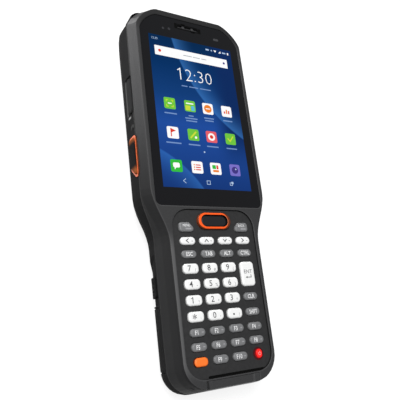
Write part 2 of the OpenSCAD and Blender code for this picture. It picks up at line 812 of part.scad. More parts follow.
module main_board() {
  head_half = x_glass - board_side;
  handle_half = keypad_w/2 - board_strip;
  switch_face = x_head + head_swell - side_back - fit_gap - flange_t - trigger_travel - 0.3;
  z_switch = z_side - switch_h/2;
  color("#1f5a34") {
    difference() {
      union() {
        block([-head_half, y_waist_top - 5, z_board], [head_half, y_rim_top - 10, z_board_top]);
        block([-handle_half, y_io_wall + io_wall_t + 0.4, z_board], [handle_half, y_waist_top - 5, z_board_top]);
      }
      screw_places() rod_along_z(boss_r + 0.3, 0, far);
    }
    // Shield cans and the battery connector on the underside
    for (c = CANS) block([c[0], y_speaker + c[2], z_board - can_t], [c[1], y_speaker + c[3], z_board]);
    block([-battery_socket[0]/2, y_waist_bottom - 4 - battery_socket[1], z_board - 2],
      [battery_socket[0]/2, y_waist_bottom - 4, z_board]);
    // Switches behind the side keys
    for (m = [0, 1]) mirror([m, 0, 0])
      block([head_half - 3, y_trigger - switch_w/2, z_switch], [switch_face, y_trigger + switch_w/2, z_board]);
    for (y = [-switch_off, switch_off]) mirror([1, 0, 0])
      block([head_half - 3, y_rocker + y - switch_w/3, z_switch],
        [switch_face - rocker_tilt_gap - 0.1, y_rocker + y + switch_w/3, z_board]);
  }
}

module bottom_connectors() {
  shell_t = 0.3;
  mouth = 0.5;
  body_l = 7.4;
  inside = [usb_w - 2*shell_t, usb_h - 2*shell_t];
  color("#b9bcc0") translate([0, y_io_wall - mouth, z_usb]) rotate([-90, 0, 0]) difference() {
    linear_extrude(body_l) rounded_rect(usb_w, usb_h, usb_h/2);
    translate([0, 0, -1]) linear_extrude(body_l - 0.5) difference() {
      rounded_rect(inside[0], inside[1], inside[1]/2);
      square([6.6, 0.7], center = true);
    }
  }
}

module scan_window() {
  color("#5a0f12") block([-scan_window_w/2, y_top - 1.6, scan_z - scan_window_h/2],
    [scan_window_w/2, y_top - 1.6 + scan_window_t, scan_z + scan_window_h/2]);
}

engine_w = 23;
engine_l = 16;
engine_above = 4.6;
// Lenses of the scan engine: place across, radius
LENSES = [[-5.5, 3.2], [5.5, 2.4]];

module scan_engine() {
  y_face = y_rim_top - 2;
  color("#3a3d42") {
    block([-engine_w/2, y_face - engine_l, scan_bay_z], [engine_w/2, y_face, scan_z + engine_above]);
    for (p = LENSES) translate([p[0], y_face, scan_z]) rotate([-90, 0, 0]) cylinder(r = p[1], h = 3);
  }
}

module camera_modules() {
  color("#0c0d10") {
    translate([rear_camera_x, y_rear_camera, 0]) union() {
      rod_along_z(rear_camera_r, back_z + 0.1, back_z + wall + 5);
      block([-camera_block/2, -camera_block/2, back_z + wall + 2], [camera_block/2, camera_block/2, back_z + wall + 6.5]);
    }
    translate([rear_camera_x - flash_off, y_rear_camera, 0]) rod_along_z(flash_r, back_z + 0.1, back_z + wall + 0.8);
    translate([front_camera_x, y_front_camera, 0]) rod_along_z(front_camera_r, z_tub + 0.3, z_glass - 0.1);
  }
}

module speaker_unit() {
  color("#2b2b2e") {
    block([-speaker_l/2, y_speaker - speaker_w/2, back_z + wall + 0.1],
      [speaker_l/2, y_speaker + speaker_w/2, back_z + wall + 5.6]);
    translate([ear_x, y_ear, z_tub + 0.3]) {
      linear_extrude(z_glass - z_tub - 0.4) rounded_rect(ear_w + 0.8, ear_h + 1.8, 0.8);
      // Bars that fill the slot of the glass at two places
      for (x = ear_bars) translate([x, 0, 0]) linear_extrude(z_glass_top - z_tub - 0.5) rounded_rect(1.8, ear_h - 0.2, 0.8);
    }
  }
}

// ---- Battery and cover ----

// The cap's outline at any height below the housing's lower edge
function cap_ring(row) = plate(
  x_handle + handle_swell*row[2] - handle_taper,
  y_bay_top + 1.4 - 4.6*max(0, 1 - row[0]/SECTION[first_housing_row][0]),
  y_rim_bottom - foot_draft*row[4], 3, handle_corner_r, 2,
  handle_taper*(battery_l - handle_corner_r)/taper_l);

module battery_pack() {
  rows = concat([for (k = [0:first_housing_row]) SECTION[k]], [section_at(cap_t - cap_gap)]);
  y_nose = y_latch + latch_stem_y;
  color("#2b2c2f") difference() {
    union() {
      loft([for (row = rows) body_t*row[0]], [for (row = rows) cap_ring(row)]);
      translate([0, y_battery, cap_t - cap_gap - 1]) linear_extrude(z_bay - 0.3 - cap_t + cap_gap + 1)
        rounded_rect(battery_w, battery_l, 1.8);
    }
    // Grooves for the latches' noses
    for (m = [0, 1]) mirror([m, 0, 0])
      block([battery_w/2 - latch_bite - groove_gap, y_nose - latch_stem_l/2 - groove_gap, z_latch - latch_stem_h/2 - groove_gap],
        [far, y_nose + latch_stem_l/2 + latch_travel + groove_gap, far]);
  }
}

// A thumb piece on the outside, a stem through the slot, a flange behind the wall and a nose
// that reaches into the battery's groove
module battery_latch(side) {
  z_wall = -recess_depth - latch_skin;
  z_flange_back = z_wall - fit_gap - latch_flange_t;
  z_tip = battery_w/2 - latch_bite - latch_side;
  color("#18191b") {
    difference() {
      intersection() {
        body(inset = -latch_proud);
        on_sides(latch_side, y_latch, z_latch, [side]) pillow(latch_l, latch_h, latch_corner_r, -2.5, 0.9, 0.9);
      }
      body(inset = recess_depth - thumb_gap);
      on_sides(latch_side, y_latch, z_latch, [side]) for (x = [-2, 0, 2])
        translate([x, 0, latch_proud - 0.35]) linear_extrude(1) rounded_rect(0.8, latch_h - 2.2, 0.4);
    }
    on_sides(latch_side, y_latch + latch_stem_y, z_latch, [side]) {
      translate([0, 0, z_tip]) linear_extrude(-0.5 - z_tip) square([latch_stem_l, latch_stem_h], center = true);
      translate([0, 0, z_flange_back]) linear_extrude(latch_flange_t) square([latch_flange_l, latch_flange_h], center = true);
    }
  }
}

// The cover's hinge bead lies along X just above the parting line
io_bead_r = 0.75;
io_plate_t = 1.6;
io_lip_t = 1.9;
io_end_w = 3.2;
io_sink = 0.6;
z_io_hinge = z_handle_part + 0.2 + io_bead_r;
y_io_hinge = y_rim_bottom - foot_draft*section_at(z_io_hinge)[4] + io_bead_r;

module io_cover() {
  half = io_w/2;
  color("#232425") difference() {
    union() {
      intersection() {
        body();
        block([-half, -far, z_io_hinge], [half, y_io_wall - io_gap, body_t]);
      }
      translate([-half, y_io_hinge, z_io_hinge]) rotate([0, 90, 0]) cylinder(r = io_bead_r, h = io_w);
    }
    // Hollow behind the plate and under the lip
    block([-far, y_io_hinge + io_plate_t, 0], [far, far, body_t - io_lip_t]);
    // Sunken middle of the lip, between its end blocks
    block([-half + io_end_w, -far, body_t - io_sink], [half - io_end_w, far, far]);
  }
}

module housing_screws() {
  color("#8f9296") screw_places() difference() {
    union() {
      rod_along_z(screw_head_r, z_shoulder - screw_head_t, z_shoulder);
      rod_along_z(screw_r, z_shoulder, z_shoulder + screw_l);
    }
    translate([0, 0, z_shoulder - screw_head_t - 1]) cylinder(r = 0.9, h = 1.9, $fn = 6);
  }
}

front_housing();
rear_housing();
cover_glass();
glass_seal();
display_module();
keypad_panel();
keypad_mat();
trim_rings();
main_board();
trigger(-1);  // trigger_left
trigger(1);  // trigger_right
volume_rocker();
battery_pack();
battery_latch(-1);  // battery_latch_left
battery_latch(1);  // battery_latch_right
io_cover();
bottom_connectors();
scan_window();
scan_engine();
camera_modules();
speaker_unit();
housing_screws();
for (k = KEYS) key(k);
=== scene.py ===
"""Looks of the barcode data terminal: camera, light, materials, key legends and the lit display.

Sizes and places are in mm in the frame's axes: +X to the right, +Y towards the scanner, +Z out of the display.
MM turns them into metres. The lamps and the floor are given in metres.
"""
import json
import math

import bpy
from mathutils import Matrix, Vector


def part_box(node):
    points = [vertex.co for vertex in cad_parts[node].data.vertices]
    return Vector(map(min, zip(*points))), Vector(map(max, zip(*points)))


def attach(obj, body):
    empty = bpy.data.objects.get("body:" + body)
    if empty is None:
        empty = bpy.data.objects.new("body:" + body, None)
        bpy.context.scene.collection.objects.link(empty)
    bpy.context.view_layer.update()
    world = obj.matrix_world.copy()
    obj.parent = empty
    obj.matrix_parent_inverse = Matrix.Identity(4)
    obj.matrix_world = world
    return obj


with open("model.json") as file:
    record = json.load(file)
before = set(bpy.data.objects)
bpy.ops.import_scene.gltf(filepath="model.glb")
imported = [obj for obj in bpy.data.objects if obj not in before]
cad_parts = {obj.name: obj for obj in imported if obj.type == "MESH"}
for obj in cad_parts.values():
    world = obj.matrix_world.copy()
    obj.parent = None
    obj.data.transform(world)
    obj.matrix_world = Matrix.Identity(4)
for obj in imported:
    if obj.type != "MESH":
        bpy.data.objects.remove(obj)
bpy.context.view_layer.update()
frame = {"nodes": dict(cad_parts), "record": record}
nodes = frame["nodes"]
MM = 0.001
scene = bpy.context.scene
scene.view_settings.view_transform = "Standard"

# ---- Camera, at the photograph's viewing angle ----

CAMERA_PLACE = Vector((-123.62, -76.48, 228.89)) * MM
CAMERA_TARGET = Vector((-6.71, -11.88, 33.0)) * MM
CAMERA_ROLL = math.radians(-6.91)
CAMERA_LENS = 42.44
CAMERA_SENSOR = 36.0


def add_camera():
    data = bpy.data.cameras.new("camera")
    data.lens = CAMERA_LENS
    data.sensor_width = CAMERA_SENSOR
    camera = bpy.data.objects.new("camera", data)
    scene.collection.objects.link(camera)
    back = (CAMERA_PLACE - CAMERA_TARGET).normalized()
    right = Vector((0, 1, 0)).cross(back).normalized()
    up = back.cross(right)
    turned = Matrix((right, up, back)).transposed() @ Matrix.Rotation(CAMERA_ROLL, 3, "Z")
    camera.matrix_world = Matrix.Translation(CAMERA_PLACE) @ turned.to_4x4()
    scene.camera = camera


# ---- Nodes of a material ----


class Tree:
    """The node tree of a material or of the world, with short ways to add and join nodes."""

    def __init__(self, owner):
        owner.use_nodes = True
        self.nodes = owner.node_tree.nodes
        self.links = owner.node_tree.links

    def add(self, kind, **inputs):
        node = self.nodes.new(kind)
        for name, value in inputs.items():
            self.feed(node.inputs[name.replace("_", " ")], value)
        return node

    def feed(self, socket, value):
        if isinstance(value, bpy.types.NodeSocket):
            self.links.new(value, socket)
        elif isinstance(value, (tuple, list)) and len(value) == 3 and socket.type == "RGBA":
            socket.default_value = (*value, 1)
        else:
            socket.default_value = value

    def math(self, operation, *values):
        node = self.nodes.new("ShaderNodeMath")
        node.operation = operation
        for socket, value in zip(node.inputs, values):
            self.feed(socket, value)
        return node.outputs[0]

    def far(self, across, along):
        """The length of a step of so much across and so much along."""
        squares = [self.math("MULTIPLY", part, part) for part in (across, along)]
        return self.math("SQRT", self.math("ADD", *squares))

    def clamped(self, value):
        return self.math("MINIMUM", self.math("MAXIMUM", value, 0.0), 1.0)

    def dot(self, first, second):
        node = self.nodes.new("ShaderNodeVectorMath")
        node.operation = "DOT_PRODUCT"
        self.feed(node.inputs[0], first)
        self.feed(node.inputs[1], second)
        return node.outputs["Value"]

    def ramp(self, fac, stops):
        """A colour ramp; stops are (place, colour)."""
        node = self.nodes.new("ShaderNodeValToRGB")
        self.feed(node.inputs["Fac"], fac)
        points = node.color_ramp.elements
        while len(points) < len(stops):
            points.new(0.5)
        for point, (place, colour) in zip(points, stops):
            point.position = place
            point.color = (*colour, 1)
        return node.outputs["Color"]

    def speckle(self, noise, low, high, reach=0.2):
        """The first colour where the noise is low, the second where it is high."""
        return self.ramp(noise, [(0.5 - reach, low), (0.5 + reach, high)])

    def mix(self, fac, first, second):
        """The first colour at 0, the second at 1."""
        node = self.nodes.new("ShaderNodeMix")
        node.data_type = "RGBA"
        self.feed(node.inputs[0], fac)
        self.feed(node.inputs[6], first)
        self.feed(node.inputs[7], second)
        return node.outputs[2]


def srgb(red, green, blue):
    """A colour written in the usual 0 to 255 steps, as linear values."""
    linear = []
    for step in (red, green, blue):
        share = step / 255
        linear.append(share / 12.92 if share <= 0.04045 else ((share + 0.055) / 1.055) ** 2.4)
    return tuple(linear)


# ---- Light and floor ----


def add_lamp(name, place, target, size, watts, spread=180):
    data = bpy.data.lights.new(name, "AREA")
    data.shape = "DISK"
    data.size = size
    data.energy = watts
    data.spread = math.radians(spread)
    lamp = bpy.data.objects.new(name, data)
    scene.collection.objects.link(lamp)
    lamp.location = place
    lamp.rotation_euler = (Vector(place) - Vector(target)).to_track_quat("Z", "Y").to_euler()


FLOOR_GLOW = 0.85  # the floor's own light, in the camera's eyes
FLOOR_SEEN = 0.25  # what it gives back of the lamps there, so that the shadow shows
FLOOR_BOUNCE = 0.4  # what it gives back for all other rays
FLOOR_HALF_WIDTH = 3.0
WORLD_LIGHT = 0.25
WORLD_COLOUR = (0.95, 0.97, 1.0)
KEY_LAMP = dict(place=(-0.36, 0.2, 0.86), target=(0, 0, 0.03), size=0.35, watts=9.0)
SIDE_LAMP = dict(place=(-0.29, 0.32, 0.06), target=(-0.03, 0.09, 0.025), size=0.12, watts=0.16, spread=60)


def backdrop_material():
    """White to the camera and in reflections, with the object's shadow on it; plain pale grey for bounced light."""
    material = bpy.data.materials.new("floor")
    tree = Tree(material)
    tree.nodes.clear()
    path = tree.add("ShaderNodeLightPath")
    seen = tree.math("MAXIMUM", path.outputs["Is Camera Ray"], path.outputs["Is Glossy Ray"])
    seen = tree.math("MAXIMUM", seen, path.outputs["Is Transmission Ray"])
    fine = tree.add("ShaderNodeTexNoise", Scale=900.0, Detail=2.0)
    paper = tree.speckle(fine.outputs["Fac"], (FLOOR_BOUNCE * 0.98,) * 3, (FLOOR_BOUNCE,) * 3)
    bounce = tree.add("ShaderNodeBsdfDiffuse", Color=paper)
    lit = tree.add("ShaderNodeBsdfDiffuse", Color=(FLOOR_SEEN,) * 3)
    glow = tree.add("ShaderNodeEmission", Strength=FLOOR_GLOW)
    both = tree.nodes.new("ShaderNodeAddShader")
    tree.feed(both.inputs[0], lit.outputs[0])
    tree.feed(both.inputs[1], glow.outputs[0])
    mix = tree.nodes.new("ShaderNodeMixShader")
    tree.feed(mix.inputs[0], seen)
    tree.feed(mix.inputs[1], bounce.outputs[0])
    tree.feed(mix.inputs[2], both.outputs[0])
    output = tree.nodes.new("ShaderNodeOutputMaterial")
    tree.feed(output.inputs["Surface"], mix.outputs[0])
    return material


def add_floor(half):
    mesh = bpy.data.meshes.new("floor")
    mesh.from_pydata([(-half, -half, 0), (half, -half, 0), (half, half, 0), (-half, half, 0)], [], [(0, 1, 2, 3)])
    floor = bpy.data.objects.new("floor", mesh)
    scene.collection.objects.link(floor)
    floor.data.materials.append(backdrop_material())


def add_world(strength, colour):
    """Soft light of that strength from all sides, and white where the camera sees past the floor."""
    world = bpy.data.worlds.new("studio")
    scene.world = world
    tree = Tree(world)
    background = tree.nodes["Background"]
    background.inputs["Color"].default_value = (*colour, 1)
    seen = tree.add("ShaderNodeLightPath").outputs["Is Camera Ray"]
    tree.feed(background.inputs["Strength"], tree.math("MULTIPLY_ADD", seen, 1 - strength, strength))


add_camera()
add_world(WORLD_LIGHT, WORLD_COLOUR)
add_floor(FLOOR_HALF_WIDTH)
add_lamp("key", **KEY_LAMP)
add_lamp("side", **SIDE_LAMP)

# ---- Materials ----

GLOSS_PATCH = 14  # across the broad patches of more and less gloss
GLOSS_SWING = 0.12  # the roughness between the dullest and the glossiest of them
EDGE_SAMPLES = 6
EDGE_GAIN = 6.0  # how soon a rounded edge has its full painted highlight
COAT_ROUGHNESS = 0.08


def shaded(colour, share):
    return [min(1, part * share) for part in colour]


def moulded(name, colour, roughness, grain=0.12, size=0.6, bump=0.02, specular=0.5, coat=0.0, glow=None,
            soft_edge=0.0, painted_edge_highlight=2.0):
    """Moulded plastic or rubber, with fine grain in its colour and height, and patches of more and less gloss.

    size is the grain's width and bump its height. Edges are rounded over soft_edge and get a painted highlight: their
    colour is lightened by the last factor.
    """
    material = bpy.data.materials.new(name)
    tree = Tree(material)
    shader = tree.nodes["Principled BSDF"]
    place = tree.add("ShaderNodeTexCoord").outputs["Object"]
    fine = tree.add("ShaderNodeTexNoise", Vector=place, Scale=1 / (size * MM), Detail=3.0).outputs["Fac"]
    broad = tree.add("ShaderNodeTexNoise", Vector=place, Scale=1 / (GLOSS_PATCH * MM), Detail=1.0).outputs["Fac"]
    tint = tree.speckle(fine, shaded(colour, 1 - grain), shaded(colour, 1 + grain))
    if soft_edge:
        edges = tree.add("ShaderNodeBevel", Radius=soft_edge * MM)
        edges.samples = EDGE_SAMPLES
        face = tree.add("ShaderNodeNewGeometry").outputs["Normal"]
        turn = tree.math("SUBTRACT", 1.0, tree.dot(edges.outputs["Normal"], face))
        share = tree.math("MINIMUM", tree.math("MULTIPLY", turn, EDGE_GAIN), 1.0)
        # painted highlight: rounded edges take a lighter copy of the colour
        tint = tree.mix(share, tint, shaded(colour, painted_edge_highlight))
    tree.feed(shader.inputs["Base Color"], tint)
    dull = tree.math("MULTIPLY_ADD", broad, GLOSS_SWING, roughness - GLOSS_SWING / 2)
    tree.feed(shader.inputs["Roughness"], dull)
    shader.inputs["Specular IOR Level"].default_value = specular
    if coat:
        shader.inputs["Coat Weight"].default_value = coat
        shader.inputs["Coat Roughness"].default_value = COAT_ROUGHNESS
    if bump:
        raised = tree.add("ShaderNodeBump", Strength=0.5, Distance=bump * MM, Height=fine)
        tree.feed(shader.inputs["Normal"], raised.outputs["Normal"])
        if soft_edge:
            tree.feed(raised.inputs["Normal"], edges.outputs["Normal"])
    if glow:
        tree.feed(shader.inputs["Emission Color"], tree.speckle(fine, shaded(colour, 0.9), colour))
        shader.inputs["Emission Strength"].default_value = glow
    return material


LOOKS = {
    "front_shell": dict(colour=(0.036, 0.036, 0.037), roughness=0.6, specular=0.18, soft_edge=1.2, painted_edge_highlight=2.0),
    "rear_shell": dict(colour=(0.011, 0.011, 0.0114), roughness=0.85, specular=0.07, soft_edge=0.6),
    "cover_glass": dict(colour=(0.005, 0.005, 0.006), roughness=0.12, grain=0.05, bump=0.0, specular=0.4),
    "rubber": dict(colour=(0.02, 0.02, 0.02), roughness=0.8),
    "display": dict(colour=(0.02, 0.04, 0.1), roughness=0.3),
    "keypad_panel": dict(colour=(0.0245, 0.0245, 0.025), roughness=0.5, size=1.5, bump=0.12, specular=0.3),
    "orange_trim": dict(colour=srgb(250, 92, 28), roughness=0.35, grain=0.06, specular=0.3, coat=0.1),
    "circuit_board": dict(colour=(0.01, 0.12, 0.04), roughness=0.5),
    "side_keys": dict(colour=(0.007, 0.007, 0.0072), roughness=0.8, specular=0.06, painted_edge_highlight=4.0, soft_edge=0.4),
    "battery": dict(colour=(0.011, 0.011, 0.0114), roughness=0.8, specular=0.1),
    "cover_rubber": dict(colour=(0.036, 0.036, 0.037), roughness=0.5, specular=0.35, soft_edge=0.6, painted_edge_highlight=2.0),
    "connector_metal": dict(colour=(0.6, 0.6, 0.62), roughness=0.3),
    "scan_window": dict(colour=(0.05, 0.002, 0.004), roughness=0.12, bump=0.0, specular=0.25),
    "scan_engine": dict(colour=(0.25, 0.26, 0.28), roughness=0.4),
    "camera": dict(colour=(0.01, 0.01, 0.012), roughness=0.12, bump=0.0),
    "speaker": dict(colour=(0.03, 0.03, 0.032), roughness=0.6),
    "screws": dict(colour=(0.5, 0.5, 0.52), roughness=0.3),
    "white_keys": dict(colour=(0.84, 0.84, 0.83), roughness=0.42, grain=0.02, bump=0.01),
    "grey_keys": dict(colour=(0.17, 0.172, 0.175), roughness=0.45, grain=0.06, bump=0.01),
    "orange_key": dict(colour=srgb(255, 120, 40), roughness=0.4, grain=0.04, bump=0.01),
    "red_key": dict(colour=srgb(250, 30, 24), roughness=0.35, grain=0.05, bump=0.01, glow=0.35),
    "scan_key": dict(colour=(0.012, 0.012, 0.014), roughness=0.3, grain=0.1),
}
materials = {slot: moulded(slot, **look) for slot, look in LOOKS.items()}
for subpart in frame["record"]["subparts"]:
    piece = nodes[subpart["node"]]
    piece.data.materials.clear()
    piece.data.materials.append(materials[subpart["material_slot"]])

# ---- Finishes on parts of a moulding ----
# A mask takes a material's tree and gives a share, 0 to 1, for each spot.


def smooth(tree, value, start, end):
    node = tree.add("ShaderNodeMapRange", Value=value, **{"From Min": start, "From Max": end})
    node.interpolation_type = "SMOOTHSTEP"
    return node.outputs["Result"]


def along(start, end, axis="Y"):
    """A mask that is 0 before start and 1 past end, along an axis of the frame."""
    def mask(tree):
        place = tree.add("ShaderNodeTexCoord").outputs["Object"]
        return smooth(tree, tree.add("ShaderNodeSeparateXYZ", Vector=place).outputs[axis], start * MM, end * MM)
    return mask


def toward(direction, start, end):
    """A mask that grows from 0 to 1 as the surface turns towards a direction, from one cosine to another."""
    def mask(tree):
        normal = tree.add("ShaderNodeTexCoord").outputs["Normal"]
        return smooth(tree, tree.dot(normal, Vector(direction).normalized()), start, end)
    return mask


def facing(start, end):
    """The same for a surface that turns up. With start above end it picks the walls."""
    return toward((0, 0, 1), start, end)


def zone(slot, colour, *masks):
    """Another colour on part of a moulding, where all the masks are 1."""
    tree = Tree(materials[slot])
    base = tree.nodes["Principled BSDF"].inputs["Base Color"]
    share = 1.0
    for mask in masks:
        share = tree.math("MULTIPLY", share, mask(tree))
    tree.feed(base, tree.mix(share, base.links[0].from_socket, colour))


def paint(node, look, chosen):
    """Gives the faces that chosen(centre in mm, normal) picks a second material."""
    mesh = nodes[node].data
    mesh.materials.append(look)
    for face in mesh.polygons:
        if chosen(face.center / MM, face.normal):
            face.material_index = len(mesh.materials) - 1


# The front moulding: painted shade on its walls that deepens towards the handle, darker painted shade on the walls
# from the waist upwards, and a painted highlight on the rim beside the keypad at the left. At the top a painted shade
# darkens its rim, and its left corner has a painted highlight that gives way to painted shade.
PAINTED_SHADE_BLACK = (0.012, 0.012, 0.0125)
KEYPAD_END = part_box("keypad_panel")[0].y / MM
zone("front_shell", PAINTED_SHADE_BLACK, along(46, -14), facing(0.92, 0.75))
zone("front_shell", (0.007, 0.007, 0.0073), along(-34, -10), facing(0.45, 0.25))
zone("front_shell", (0.092, 0.092, 0.093),
     along(-26, -38), along(KEYPAD_END - 1, KEYPAD_END + 9), along(0, -20, "X"), facing(0.8, 0.95))
zone("front_shell", (0.02, 0.02, 0.0205), along(82, 90), facing(0.8, 0.95))
zone("front_shell", (0.09, 0.09, 0.091), along(84, 87), toward((-0.71, 0.4, 0.58), 0.98, 0.995))
zone("front_shell", PAINTED_SHADE_BLACK, along(86, 89), toward((-0.56, 0.65, 0.5), 0.965, 0.99))

# Painted shade on the shoulder of the rear moulding behind the head, in the gap left of the connector cover, and on
# the walls of two keys.
zone("rear_shell", (0.001, 0.001, 0.001), along(97, 98.5), along(20, 20.6, "Z"), facing(0.3, 0.6))
zone("cover_rubber", (0.006, 0.006, 0.006), along(-13.0, -14.0, "X"))
zone("orange_key", (0.2, 0.03, 0.005), facing(0.8, 0.3))
zone("red_key", (0.1, 0.002, 0.004), facing(0.9, 0.4))

# The ends of the triggers, where the orange of the rings runs inwards.
RUN_IN = srgb(132, 74, 40)
TRIGGER_LOW, TRIGGER_HIGH = (corner.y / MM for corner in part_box("trigger_left"))
zone("side_keys", RUN_IN, along(TRIGGER_HIGH - 4, TRIGGER_HIGH - 1), along(TRIGGER_HIGH + 4, TRIGGER_HIGH + 3))
zone("side_keys", RUN_IN, along(TRIGGER_LOW + 5.5, TRIGGER_LOW + 2.5), along(TRIGGER_LOW - 4, TRIGGER_LOW - 3))

# Below the rocker a painted glint sits on its recess's lip, with a faint second painted glint, and a painted
# highlight runs along its ledge. The rocker is paler than the triggers.
ROCKER_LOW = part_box("volume_rocker")[0].y / MM
LEDGE_END = 57
LEFT_WALL = along(-36, -36.2, "X")
zone("rear_shell", (0.28, 0.28, 0.28),
     along(ROCKER_LOW - 0.5, ROCKER_LOW - 0.9), along(ROCKER_LOW - 1.9, ROCKER_LOW - 1.5),
     along(20.8, 21.4, "Z"), along(24.4, 23.6, "Z"), LEFT_WALL)
zone("rear_shell", (0.04, 0.04, 0.04),
     along(ROCKER_LOW - 6.0, ROCKER_LOW - 6.8), along(ROCKER_LOW - 8.6, ROCKER_LOW - 7.8),
     along(22.6, 23.6, "Z"), LEFT_WALL)
zone("rear_shell", (0.08, 0.08, 0.08),
     along(ROCKER_LOW - 1, ROCKER_LOW + 1), along(LEDGE_END + 1, LEDGE_END - 1),
     along(-35.4, -35.8, "X"), facing(0.6, 0.9))
zone("side_keys", (0.02, 0.02, 0.0205), along(ROCKER_LOW - 1.5, ROCKER_LOW - 0.5))

# The orange rings. SCAN_ROUND is the radius of the scan key's ends, and SCAN_STRAIGHT half the length between them.
SCAN_BOX = [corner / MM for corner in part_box("key_scan")]
SCAN_MIDDLE = (SCAN_BOX[0] + SCAN_BOX[1]) / 2
SCAN_ROUND = (SCAN_BOX[1].y - SCAN_BOX[0].y) / 2
SCAN_STRAIGHT = (SCAN_BOX[1].x - SCAN_BOX[0].x) / 2 - SCAN_ROUND


def ring_slope_shade(tree):
    """Painted shade on the ring's outer slope round the scan key: narrower at the left end, wider at the right end.
    """
    split = tree.add("ShaderNodeSeparateXYZ", Vector=tree.add("ShaderNodeTexCoord").outputs["Object"])
    past_end = tree.math("SUBTRACT", tree.math("ABSOLUTE", split.outputs["X"]), SCAN_STRAIGHT * MM)
    past_end = tree.math("MAXIMUM", past_end, 0.0)
    far = tree.far(past_end, tree.math("SUBTRACT", split.outputs["Y"], SCAN_MIDDLE.y * MM))
    far = tree.math("SUBTRACT", far, tree.math("MULTIPLY", along(-6.5, -9.0, "X")(tree), 0.4 * MM))
    far = tree.math("ADD", far, tree.math("MULTIPLY", along(4.5, 8.0, "X")(tree), 0.65 * MM))
    outside = smooth(tree, far, (SCAN_ROUND + 0.6) * MM, (SCAN_ROUND + 0.85) * MM)
    return tree.math("MULTIPLY", outside, smooth(tree, far, 14 * MM, 12 * MM))


def ring_inside(centre, normal):
    """Picks the walls of the scan key's ring that look at the key, which get painted shade."""
    inwards = (SCAN_MIDDLE - centre) * Vector((1, 1, 0))
    return abs(centre.x) < 12 and abs(normal.z) < 0.3 and normal.dot(inwards) > 0.3


# A painted highlight makes the right end of the scan key's ring paler.
zone("orange_trim", srgb(205, 126, 84), along(5.5, 9.0, "X"), along(22, 20, "X"))
# Painted shade on the ring's outer slope.
zone("orange_trim", (0.13, 0.026, 0.006), ring_slope_shade)
# The trigger rings take a paler orange, with painted shade on their faces that turn up.
for side in (-1, 1):
    zone("orange_trim", srgb(226, 104, 58), along(side * 22, side * 24, "X"))
    zone("orange_trim", (0.1, 0.024, 0.006), facing(0.3, 0.6), along(side * 24, side * 26, "X"))
# Painted shade: the ring's walls that look at the scan key take the key's black.
paint("trim_rings", materials["scan_key"], ring_inside)

# ---- Ink and lit patches ----

GLASS_ROUGHNESS = 0.12


def screen_material(name, base, specular):
    """A dark gloss face that glows. Gives the material, its tree and the socket for the light's colour."""
    material = bpy.data.materials.new(name)
    tree = Tree(material)
    shader = tree.nodes["Principled BSDF"]
    shader.inputs["Base Color"].default_value = (*base, 1)
    shader.inputs["Roughness"].default_value = GLASS_ROUGHNESS
    shader.inputs["Specular IOR Level"].default_value = specular
    shader.inputs["Emission Strength"].default_value = 1.0
    return material, tree, shader.inputs["Emission Color"]


def lit(name, colour, spread=0.06):
    """A patch of the display's picture, of one colour that varies by that share."""
    material, tree, light = screen_material(name, (0.004, 0.004, 0.005), 0.15)
    place = tree.add("ShaderNodeTexCoord").outputs["Object"]
    noise = tree.add("ShaderNodeTexNoise", Vector=place, Scale=900.0, Detail=1.0).outputs["Fac"]
    tree.feed(light, tree.speckle(noise, shaded(colour, 1 - spread), colour, 0.15))
    return material


def ink(name, colour):
    """Key print: a thin matt ink with slightly uneven cover."""
    return moulded(name, colour, 0.55, grain=0.1, size=0.25, bump=0.0)


# ---- Flat outlines, in mm ----


def disc(x, y, radius, parts=20):
    turns = [2 * math.pi * k / parts for k in range(parts)]
    return [[(x + radius * math.cos(turn), y + radius * math.sin(turn)) for turn in turns]]


def rounded(x, y, width, height, radius=0.0, parts=4):
    """A rectangle about (x, y), with round corners if it has a radius."""
    half_width, half_height = width / 2, height / 2
    if radius <= 0:
        return [[(x - half_width, y - half_height), (x + half_width, y - half_height),
                 (x + half_width, y + half_height), (x - half_width, y + half_height)]]
    points = []
    for turn, (sx, sy) in enumerate(((1, 1), (-1, 1), (-1, -1), (1, -1))):
        cx = x + sx * (half_width - radius)
        cy = y + sy * (half_height - radius)
        for k in range(parts + 1):
            angle = math.pi / 2 * (turn + k / parts)
            points.append((cx + radius * math.cos(angle), cy + radius * math.sin(angle)))
    return [points]


def stroke(points, width):
    """A line of that width through the points, drawn as one bar for each piece."""
    bars = []
    for (x0, y0), (x1, y1) in zip(points, points[1:]):
        length = math.hypot(x1 - x0, y1 - y0)
        ux, uy = (x1 - x0) / length * width / 2, (y1 - y0) / length * width / 2
        bars.append([(x0 - ux + uy, y0 - uy - ux), (x1 + ux + uy, y1 + uy - ux),
                     (x1 + ux - uy, y1 + uy + ux), (x0 - ux - uy, y0 - uy + ux)])
    return bars


def arc(x, y, radius, start, end, width, parts=12):
    """Part of a ring about (x, y), from start to end in degrees."""
    bars = []
    for k in range(parts):
        a = math.radians(start + (end - start) * k / parts)
        b = math.radians(start + (end - start) * (k + 1) / parts)
        inner, outer = radius - width / 2, radius + width / 2
        corners = ((inner, a), (outer, a), (outer, b), (inner, b))
        bars.append([(x + r * math.cos(t), y + r * math.sin(t)) for r, t in corners])
    return bars


def ring(x, y, radius, width, parts):
    return arc(x, y, radius, 0, 360, width, parts)


# Heights in the font at size 1: of a figure, and of the tallest mark that is centred on itself.
FIGURE = 0.69
SMALL_MARK = 0.5


